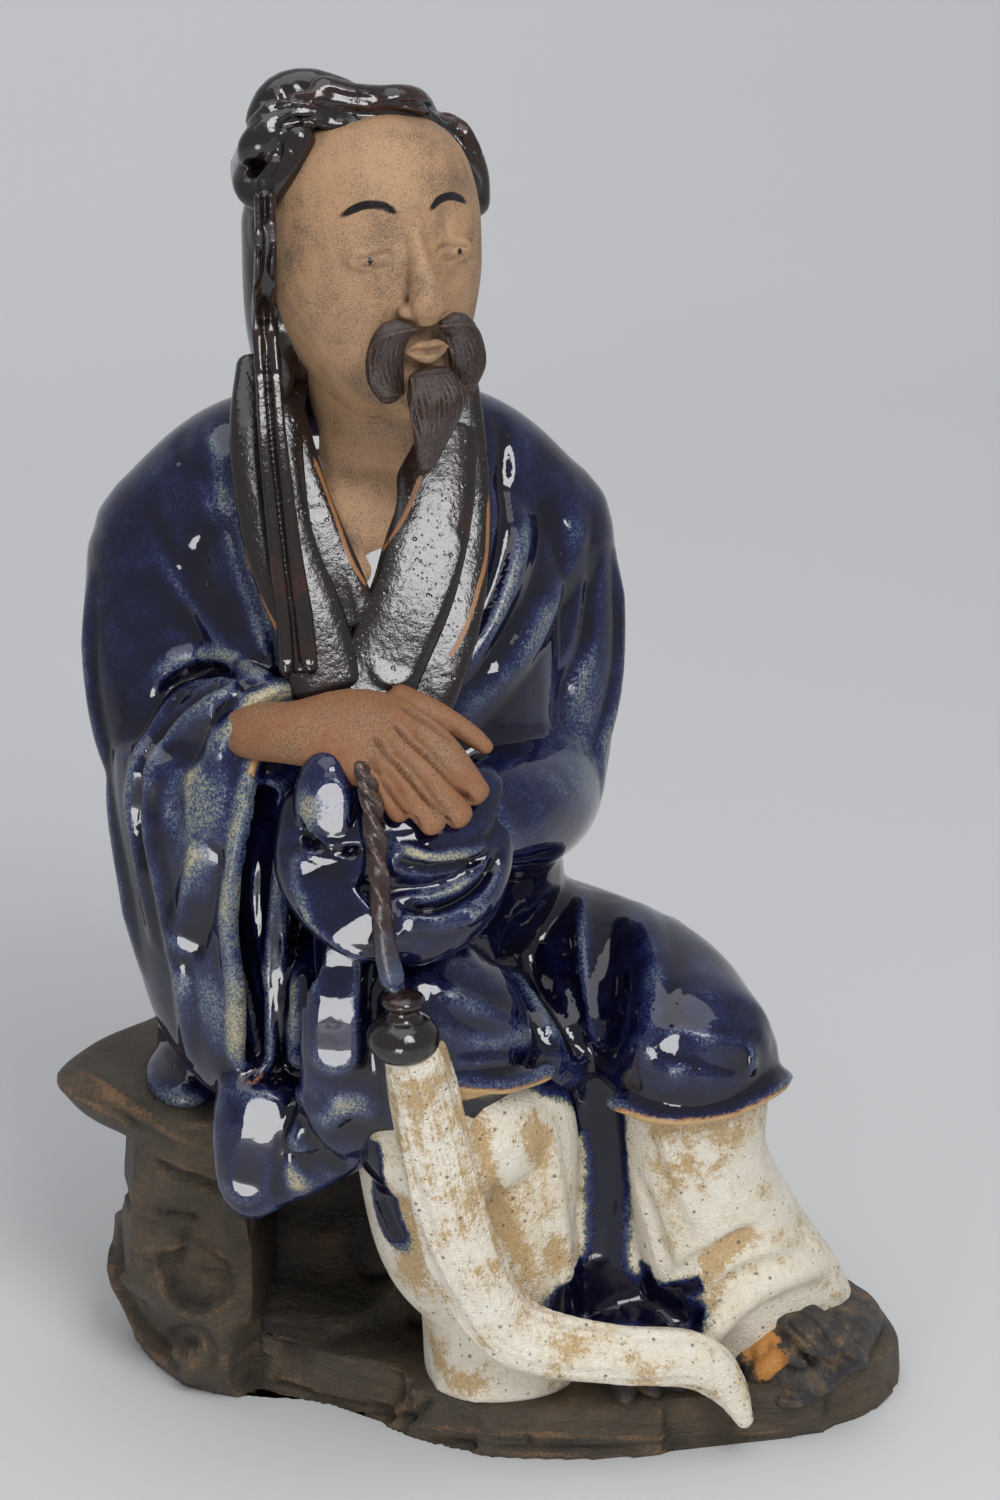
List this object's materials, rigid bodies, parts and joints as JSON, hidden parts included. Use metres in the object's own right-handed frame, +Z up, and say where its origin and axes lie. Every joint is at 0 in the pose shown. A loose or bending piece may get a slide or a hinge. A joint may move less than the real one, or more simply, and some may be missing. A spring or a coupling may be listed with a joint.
{
  "type": "mudman figurine",
  "caption": "Glazed stoneware figurine of a seated robed scholar holding a horsehair whisk on a hollowed rock, free-standing on a flat underside.",
  "frame": {"origin": "on the ground in the plane of the flat underside, under the middle of the rock", "axes": "+Z up, the seated figure faces -Y, its own left is +X"},
  "size_m": [0.1312, 0.0937, 0.2096],
  "materials": {
    "navy_glaze": "thick glossy cobalt glaze, olive and pale where it thins",
    "dark_glaze": "glossy brown-black glaze, reddish where it thins",
    "cream_glaze": "semi-matte cream glaze mottled with ochre and iron specks",
    "bare_clay": "unglazed tan clay, matte",
    "rock_clay": "unglazed dark brown clay, rough, lighter on scuffed edges"
  },
  "bodies": {
    "root": {"figurine": "navy_glaze"}
  },
  "joints": []
}
